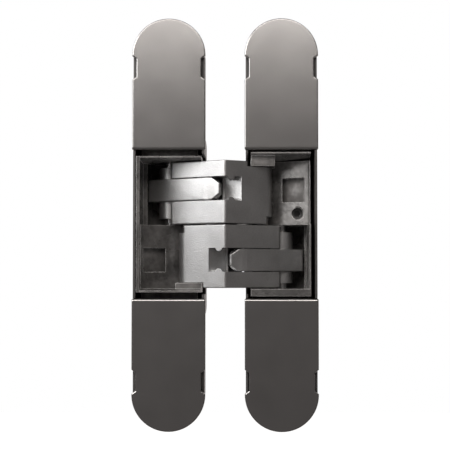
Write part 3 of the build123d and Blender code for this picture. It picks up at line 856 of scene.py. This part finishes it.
@dataclass
class ThreadedScrews(SubAssembly):
    """The clamp screws, each with a rolled thread round its core.

    Args:
        bodies: Body that carries the screws of each node.
        head_radius: Radius of a screw's head, in metres.
        core_radius: Radius of the core that the thread winds round, in metres.
        length: Length of the threaded end, in metres.
        pitch: Rise of one turn, in metres.
        ridge: Radius of the ridge's rounded section, in metres.
    """

    bodies: tuple[str, ...] = ()
    head_radius: float = 4.4 * MM
    core_radius: float = 2.05 * MM
    length: float = 4.4 * MM
    pitch: float = 0.8 * MM
    ridge: float = 0.3 * MM

    def build(self, frame: dict, materials: dict[str, bpy.types.Material]) -> None:
        """Wind the threads, one mesh for each body.

        Args:
            frame: The loaded frame.
            materials: Built materials by finish name.
        """
        tree = self._tree()
        sizes = {
            "Core Radius": self.core_radius,
            "Length": self.length - 2.0 * self.ridge,
            "Turns": self.length / self.pitch,
            "Ridge": self.ridge,
            "Material": materials[self.finish.name],
        }
        for node, body in zip(self.nodes, self.bodies):
            piece = self._seeds(node, f"{body}_clamp_threads")
            run_nodes(piece, tree, sizes)
            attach(piece, body)
            LOG.info("%s: %d faces", piece.name, len(piece.data.polygons))

    def _seeds(self, node: str, name: str) -> bpy.types.Object:
        """Put one point at the foot of each thread of a node.

        Args:
            node: Node of two screws, one above the other.
            name: Name of the new piece.

        Returns:
            A mesh object of two points.
        """
        low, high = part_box(node)
        x = (low.x + high.x) / 2.0
        y = high.y - self.length + self.ridge
        mesh = bpy.data.meshes.new(name)
        mesh.from_pydata([(x, y, low.z + self.head_radius), (x, y, high.z - self.head_radius)], [], [])
        return add_object(name, mesh)

    def _tree(self) -> bpy.types.NodeTree:
        """Build the node tree that winds a ridge round each point.

        Returns:
            The new node tree.
        """
        tree = bpy.data.node_groups.new("rolled_thread", "GeometryNodeTree")
        tree.interface.new_socket("Geometry", in_out="INPUT", socket_type="NodeSocketGeometry")
        for name in ("Core Radius", "Length", "Turns", "Ridge"):
            tree.interface.new_socket(name, in_out="INPUT", socket_type="NodeSocketFloat")
        tree.interface.new_socket("Material", in_out="INPUT", socket_type="NodeSocketMaterial")
        tree.interface.new_socket("Geometry", in_out="OUTPUT", socket_type="NodeSocketGeometry")
        given = tree.nodes.new("NodeGroupInput").outputs
        helix = tree.nodes.new("GeometryNodeCurveSpiral")
        helix.inputs["Resolution"].default_value = THREAD_RESOLUTION
        tree.links.new(given["Turns"], helix.inputs["Rotations"])
        tree.links.new(given["Core Radius"], helix.inputs["Start Radius"])
        tree.links.new(given["Core Radius"], helix.inputs["End Radius"])
        tree.links.new(given["Length"], helix.inputs["Height"])
        section = tree.nodes.new("GeometryNodeCurvePrimitiveCircle")
        section.inputs["Resolution"].default_value = RIDGE_SIDES
        tree.links.new(given["Ridge"], section.inputs["Radius"])
        ridge = tree.nodes.new("GeometryNodeCurveToMesh")
        ridge.inputs["Fill Caps"].default_value = True
        tree.links.new(helix.outputs["Curve"], ridge.inputs["Curve"])
        tree.links.new(section.outputs["Curve"], ridge.inputs["Profile Curve"])
        place = tree.nodes.new("GeometryNodeInstanceOnPoints")
        place.inputs["Rotation"].default_value = (-math.pi / 2.0, 0.0, 0.0)
        tree.links.new(given["Geometry"], place.inputs["Points"])
        tree.links.new(ridge.outputs["Mesh"], place.inputs["Instance"])
        real = tree.nodes.new("GeometryNodeRealizeInstances")
        tree.links.new(place.outputs["Instances"], real.inputs["Geometry"])
        dress = tree.nodes.new("GeometryNodeSetMaterial")
        tree.links.new(real.outputs["Geometry"], dress.inputs["Geometry"])
        tree.links.new(given["Material"], dress.inputs["Material"])
        result = tree.nodes.new("NodeGroupOutput")
        tree.links.new(dress.outputs["Geometry"], result.inputs["Geometry"])
        return tree


@dataclass(frozen=True)
class Softbox:
    """An upright studio light that faces the middle line of the hinge.

    Args:
        name: Name of the light.
        bearing: Direction from the hinge, in degrees to the right of straight in front.
        distance: Distance from the hinge, in metres.
        shift: How far the light stands aside to its right, in metres.
        bottom: Height of its lower edge over the hinge's middle, in metres.
        width: Width of its face, in metres.
        height: Height of its face, in metres.
        radiance: Brightness of its face.
        colour: Colour of its light.
    """

    name: str
    bearing: float
    distance: float
    shift: float
    bottom: float
    width: float
    height: float
    radiance: float
    colour: Colour = WHITE

    def place(self, target: Vector) -> None:
        """Add the light to the scene.

        Args:
            target: Point in the middle of the hinge's face.
        """
        lamp = bpy.data.lights.new(self.name, "AREA")
        lamp.shape = "RECTANGLE"
        lamp.size = self.width
        lamp.size_y = self.height
        lamp.energy = self.radiance * math.pi * self.width * self.height
        lamp.color = self.colour
        turn = math.radians(self.bearing)
        out = Vector((math.sin(turn), -math.cos(turn), 0.0))
        aside = Vector((math.cos(turn), math.sin(turn), 0.0))
        middle = Vector((0.0, 0.0, self.bottom + self.height / 2.0))
        holder = add_object(self.name, lamp)
        holder.location = target + out * self.distance + aside * self.shift + middle
        holder.rotation_euler = (-out).to_track_quat("-Z", "Y").to_euler()


LEFT_SOFTBOX = Softbox(
    name="left_softbox",
    bearing=-56.0,
    distance=0.3,
    shift=0.0,
    bottom=0.026,
    width=0.25,
    height=0.3,
    radiance=3.3,
)
FRONT_SOFTBOX = Softbox(
    name="front_softbox",
    bearing=0.0,
    distance=0.4,
    shift=-0.21,
    bottom=0.182,
    width=0.76,
    height=0.24,
    radiance=4.2,
    colour=WARM_WHITE,
)


@dataclass
class Studio:
    """White studio with a large light on the left, one above, and dark to the right.

    Args:
        softboxes: Lights of the studio.
        ambient: Brightness of the room in front of the hinge and beside it.
        backdrop: Brightness of the wall behind the hinge.
        floor_drop: Height of the hinge's foot over the floor, in metres.
        floor_half: Reach of the floor to each side and to the back, in metres.
        floor_front: Reach of the floor to the front, in metres.
        floor_roughness: Roughness of the floor.
        floor_glow: Brightness that the floor adds, so that it stays pale.
    """

    softboxes: tuple[Softbox, ...] = (LEFT_SOFTBOX, FRONT_SOFTBOX)
    ambient: float = 0.112
    backdrop: float = 0.9
    floor_drop: float = 0.3
    floor_half: float = 3.0
    floor_front: float = 0.5
    floor_roughness: float = 0.9
    floor_glow: float = 0.9

    def build(self, target: Vector) -> None:
        """Set the world, the floor and the lights.

        Args:
            target: Point that the lights face.
        """
        self._world()
        self._floor()
        for softbox in self.softboxes:
            softbox.place(target)
        bpy.context.scene.view_settings.view_transform = "Standard"
        LOG.info("studio: %s", ", ".join(softbox.name for softbox in self.softboxes))

    def _world(self) -> None:
        """Make a dim room with a bright wall behind the hinge and a white ground for the picture."""
        world = bpy.data.worlds.new("studio")
        bpy.context.scene.world = world
        world.use_nodes = True
        tree = world.node_tree
        tree.nodes.clear()
        output = tree.nodes.new("ShaderNodeOutputWorld")
        split = tree.nodes.new("ShaderNodeSeparateXYZ")
        tree.links.new(tree.nodes.new("ShaderNodeTexCoord").outputs["Generated"], split.inputs["Vector"])
        wall = map_range(tree, split.outputs["Y"], WALL_SPAN, (self.ambient, self.backdrop), "SMOOTHSTEP")
        room = tree.nodes.new("ShaderNodeBackground")
        room.inputs["Color"].default_value = opaque(ROOM_TINT)
        tree.links.new(wall, room.inputs["Strength"])
        ground = tree.nodes.new("ShaderNodeBackground")
        ground.inputs["Color"].default_value = opaque(WHITE)
        pick = tree.nodes.new("ShaderNodeMixShader")
        tree.links.new(tree.nodes.new("ShaderNodeLightPath").outputs["Is Camera Ray"], pick.inputs["Fac"])
        tree.links.new(room.outputs["Background"], pick.inputs[1])
        tree.links.new(ground.outputs["Background"], pick.inputs[2])
        tree.links.new(pick.outputs["Shader"], output.inputs["Surface"])

    def _floor(self) -> None:
        """Lay a pale floor under and behind the hinge."""
        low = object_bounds()[0][2] - self.floor_drop
        side = self.floor_half
        outline = ((-side, -self.floor_front), (side, -self.floor_front), (side, side), (-side, side))
        mesh = bpy.data.meshes.new("floor")
        mesh.from_pydata([(x, y, low) for x, y in outline], [], [tuple(range(len(outline)))])
        material = bpy.data.materials.new("pale_floor")
        material.use_nodes = True
        shader = material.node_tree.nodes["Principled BSDF"]
        shader.inputs["Base Color"].default_value = opaque(FLOOR_TINT)
        shader.inputs["Roughness"].default_value = self.floor_roughness
        shader.inputs["Emission Color"].default_value = opaque(WHITE)
        shader.inputs["Emission Strength"].default_value = self.floor_glow
        coat(mesh, material)
        floor = add_object("floor", mesh)
        floor.visible_glossy = False
        floor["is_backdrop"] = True


@dataclass
class PhotoCamera:
    """Camera at the photograph's viewing angle.

    Args:
        distance: Distance from the hinge's face, in metres.
        azimuth: How far the camera stands to the right, in degrees.
        elevation: How far the camera stands up, in degrees.
        view_height: Height of the picture at the hinge's face, in metres.
        drop: How far the camera is lowered without turning, in metres.
        nearest: Distance from which things are drawn, in metres.
    """

    distance: float = 0.51
    azimuth: float = 1.0
    elevation: float = -2.3
    view_height: float = 173.8 * MM
    drop: float = 0.4 * MM
    nearest: float = 10.0 * MM

    def place(self, target: Vector) -> None:
        """Add the camera and make it the scene's own.

        Args:
            target: Point in the middle of the picture.
        """
        data = bpy.data.cameras.new("photo_camera")
        data.angle = 2.0 * math.atan(self.view_height / 2.0 / self.distance)
        data.clip_start = self.nearest
        turn = math.radians(self.azimuth)
        rise = math.radians(self.elevation)
        ray = Vector((math.sin(turn) * math.cos(rise), -math.cos(turn) * math.cos(rise), math.sin(rise)))
        camera = add_object("photo_camera", data)
        camera.location = target + ray * self.distance - Vector((0.0, 0.0, self.drop))
        camera.rotation_euler = (-ray).to_track_quat("-Z", "Y").to_euler()
        bpy.context.scene.camera = camera
        LOG.info("camera: %.0f mm away", self.distance / MM)


SUB_ASSEMBLIES = (
    SubAssembly("arms", ("upper_arm", "lower_arm"), ARM_FINISH),
    FlatNosedLinks(
        "links", ("upper_link", "lower_link"), ARM_FINISH, pins=("upper_nose_pin", "lower_nose_pin")
    ),
    SubAssembly(
        "cover caps",
        ("frame_cap_upper", "frame_cap_lower", "door_cap_upper", "door_cap_lower"),
        COVER_FINISH,
    ),
    SubAssembly("carriages", ("frame_carriage", "door_carriage"), CARRIAGE_FINISH),
    SubAssembly("housings", ("frame_housing", "door_housing"), HOUSING_FINISH),
    SubAssembly(
        "pins",
        (
            "centre_pin",
            "upper_arm_pin",
            "lower_arm_pin",
            "upper_link_pin",
            "lower_link_pin",
            "upper_nose_pin",
            "lower_nose_pin",
        ),
        PIN_FINISH,
    ),
    SubAssembly(
        "bearings",
        (
            "centre_washer",
            "centre_bushes",
            "upper_arm_bushes",
            "lower_arm_bushes",
            "upper_link_bushes",
            "lower_link_bushes",
        ),
        BEARING_FINISH,
    ),
    SubAssembly(
        "plates and adjuster", ("frame_clamp_plates", "door_clamp_plates", "side_adjuster"), SCREW_FINISH
    ),
    ThreadedScrews(
        "clamp screws", ("frame_clamp_screws", "door_clamp_screws"), SCREW_FINISH, bodies=("frame", "door")
    ),
)


def hinge_middle() -> Vector:
    """Find the middle of the caps' faces, where the photograph is aimed.

    Returns:
        The point between the two bodies, on the plane of the caps.
    """
    frame_low, frame_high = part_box("frame_cap_upper")
    door_low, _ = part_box("door_cap_lower")
    return Vector(((frame_high.x + door_low.x) / 2.0, frame_low.y, (frame_high.z + door_low.z) / 2.0))


def main() -> None:
    """Build the dressed hinge in its studio."""
    logging.basicConfig(level=logging.INFO, format="%(name)s %(message)s")
    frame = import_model()
    finishes = {group.finish.name: group.finish for group in SUB_ASSEMBLIES}
    materials = {name: finish.material() for name, finish in finishes.items()}
    for group in SUB_ASSEMBLIES:
        group.build(frame, materials)
        group.dress(frame, materials)
    target = hinge_middle()
    Studio().build(target)
    PhotoCamera().place(target)


if __name__ == "__main__":
    main()
